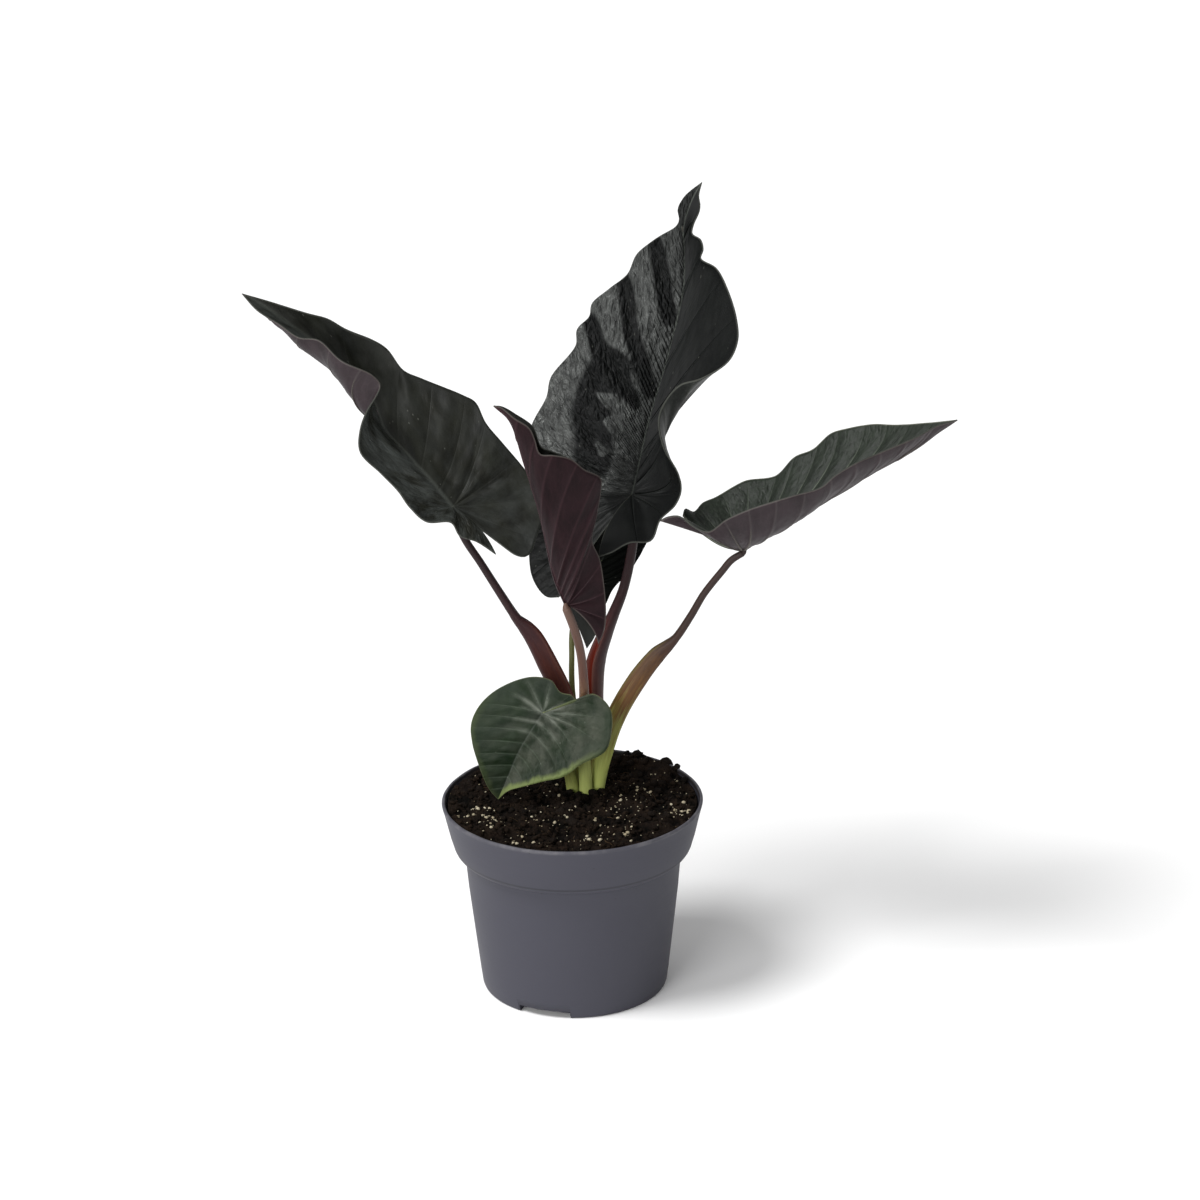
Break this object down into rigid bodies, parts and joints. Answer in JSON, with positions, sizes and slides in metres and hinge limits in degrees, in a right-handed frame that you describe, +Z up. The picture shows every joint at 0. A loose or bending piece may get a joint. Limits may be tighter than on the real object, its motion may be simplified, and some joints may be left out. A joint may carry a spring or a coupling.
{
  "type": "potted velvet alocasia",
  "caption": "House plant in a round tapered nursery pot: arrow-shaped velvety leaves with pale veins on long sheathed stems, standing in dark potting soil.",
  "frame": {"origin": "middle of the pot's underside, on the surface that the pot stands on", "axes": "+Z up, +X to the right of the front view, +Y away from the front view"},
  "size_m": [0.3189, 0.1423, 0.36],
  "materials": {
    "petiole_purple": "smooth satin stem, dark purple",
    "petiole_pink": "smooth satin stem, brownish pink",
    "petiole_green": "smooth satin stem, yellow-green",
    "leaf_dark": "velvety near-black green",
    "leaf_olive": "velvety dark olive green",
    "leaf_purple": "matt purple underside, dark green face",
    "leaf_green": "velvety green with silvery veins",
    "corm": "rough brown",
    "soil": "crumbly dark peat with pale grains",
    "pot_plastic": "satin moulded grey"
  },
  "bodies": {
    "root": {"petiole_tall": "petiole_purple", "petiole_left": "petiole_purple", "petiole_front": "petiole_pink", "petiole_right": "petiole_pink", "petiole_low": "petiole_green", "petiole_back": "petiole_green", "leaf_tall": "leaf_dark", "leaf_left": "leaf_olive", "leaf_front": "leaf_purple", "leaf_right": "leaf_olive", "leaf_low": "leaf_green", "leaf_back": "leaf_dark", "corm": "corm", "potting_soil": "soil", "pot": "pot_plastic"}
  },
  "joints": []
}
